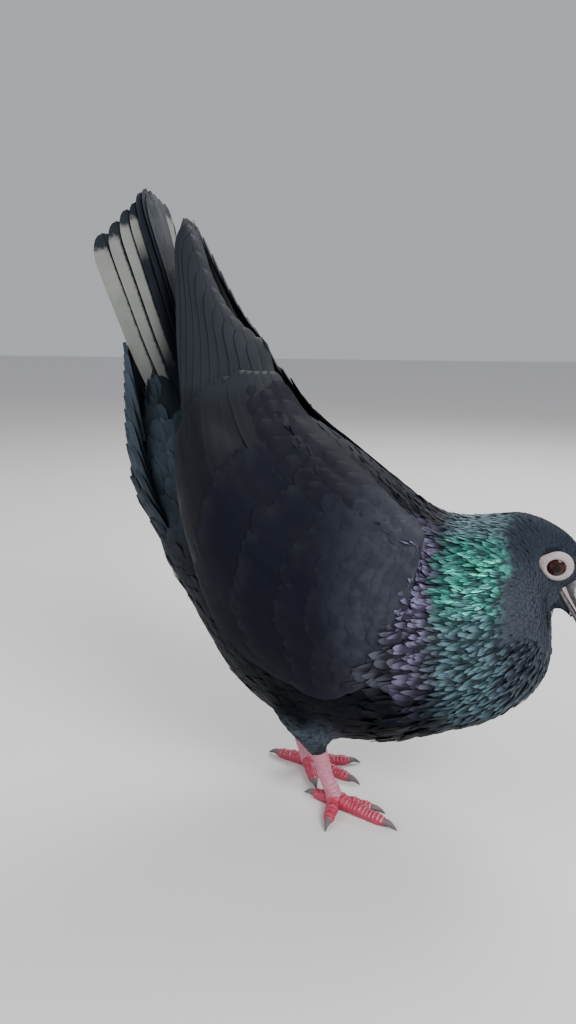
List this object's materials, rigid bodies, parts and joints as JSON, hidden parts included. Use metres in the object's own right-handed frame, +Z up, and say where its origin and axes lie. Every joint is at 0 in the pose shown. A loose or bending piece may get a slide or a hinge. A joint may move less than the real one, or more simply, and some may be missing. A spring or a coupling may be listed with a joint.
{
  "type": "homing pigeon",
  "caption": "Life-size still model of a standing homing pigeon, head low, neck puffed and tail raised.",
  "frame": {"origin": "on the ground, under the middle of the bird's box", "axes": "+X the way the bird faces, +Y its left side, +Z up"},
  "size_m": [0.2166, 0.124, 0.2786],
  "materials": {
    "head_feather": "slate grey feathers, matt",
    "neck_feather": "dark feathers with a green and purple gloss",
    "body_feather": "blue-black feathers, soft sheen",
    "wing_feather": "blue-black feathers, soft sheen",
    "tail_feather": "blue-black vanes, outer ones edged with pale grey",
    "leg_skin": "red scaled skin",
    "bill_horn": "dark horn, satin",
    "cere_skin": "chalky white skin",
    "eye": "wet dark red-brown iris and black pupil",
    "eye_skin": "bare pinkish white skin",
    "claw_horn": "dark horn"
  },
  "bodies": {
    "root": {"bill_lower": "bill_horn", "bill_upper": "bill_horn", "cere": "cere_skin", "claw_hind_left": "claw_horn", "claw_hind_right": "claw_horn", "claw_inner_left": "claw_horn", "claw_inner_right": "claw_horn", "claw_middle_left": "claw_horn", "claw_middle_right": "claw_horn", "claw_outer_left": "claw_horn", "claw_outer_right": "claw_horn", "eye_left": "eye", "eye_right": "eye", "eye_ring_left": "eye_skin", "eye_ring_right": "eye_skin", "foot_left": "leg_skin", "foot_right": "leg_skin", "head": "head_feather", "neck": "neck_feather", "shank_left": "leg_skin", "shank_right": "leg_skin", "tail": "tail_feather", "thigh_left": "body_feather", "thigh_right": "body_feather", "torso": "body_feather", "wing_left": "wing_feather", "wing_right": "wing_feather"}
  },
  "joints": []
}
